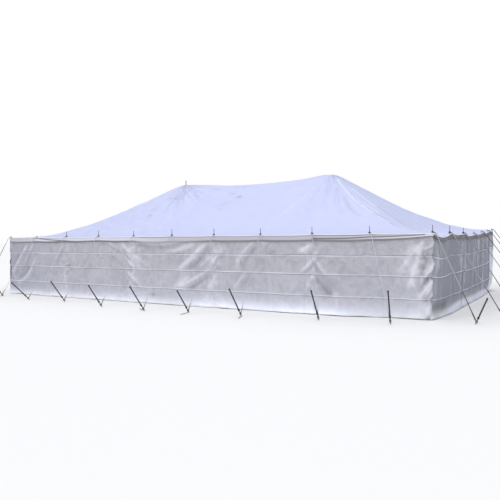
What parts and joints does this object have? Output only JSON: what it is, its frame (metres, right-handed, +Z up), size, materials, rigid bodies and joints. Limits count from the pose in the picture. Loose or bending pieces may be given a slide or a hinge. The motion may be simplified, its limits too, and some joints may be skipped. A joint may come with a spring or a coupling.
{
  "type": "pole tent",
  "caption": "Two-peak pole tent with a white PVC roof, canvas valance and curtain walls, held down all round by rope guys and leaning pegs.",
  "frame": {"origin": "on the ground under the middle of the tent", "axes": "+X along the tent to its right end, +Y from the front to the back, +Z up"},
  "size_m": [19.3654, 13.4362, 4.1806],
  "materials": {
    "roof_pvc": "white PVC-coated polyester, satin, a little soiled",
    "valance_canvas": "beige proofed cotton canvas, matt",
    "wall_canvas": "off-white proofed canvas, matt, with sewn cross seams",
    "pole_steel": "grey galvanised steel tube, dull",
    "guy_rope": "pale twisted guy rope on dark steel pegs"
  },
  "bodies": {
    "root": {"roof_canopy": "roof_pvc", "valance": "valance_canvas", "wall_front": "wall_canvas", "wall_right": "wall_canvas", "wall_back": "wall_canvas", "wall_left": "wall_canvas", "centre_pole_left": "pole_steel", "centre_pole_right": "pole_steel", "pole_row_front": "pole_steel", "pole_row_right": "pole_steel", "pole_row_back": "pole_steel", "pole_row_left": "pole_steel", "guy_front_01": "guy_rope", "guy_front_02": "guy_rope", "guy_front_03": "guy_rope", "guy_front_04": "guy_rope", "guy_front_05": "guy_rope", "guy_front_06": "guy_rope", "guy_front_07": "guy_rope", "guy_front_08": "guy_rope", "guy_front_09": "guy_rope", "guy_front_10": "guy_rope", "guy_front_11": "guy_rope", "guy_right_01": "guy_rope", "guy_right_02": "guy_rope", "guy_right_03": "guy_rope", "guy_right_04": "guy_rope", "guy_right_05": "guy_rope", "guy_back_01": "guy_rope", "guy_back_02": "guy_rope", "guy_back_03": "guy_rope", "guy_back_04": "guy_rope", "guy_back_05": "guy_rope", "guy_back_06": "guy_rope", "guy_back_07": "guy_rope", "guy_back_08": "guy_rope", "guy_back_09": "guy_rope", "guy_back_10": "guy_rope", "guy_back_11": "guy_rope", "guy_left_01": "guy_rope", "guy_left_02": "guy_rope", "guy_left_03": "guy_rope", "guy_left_04": "guy_rope", "guy_left_05": "guy_rope"}
  },
  "joints": []
}
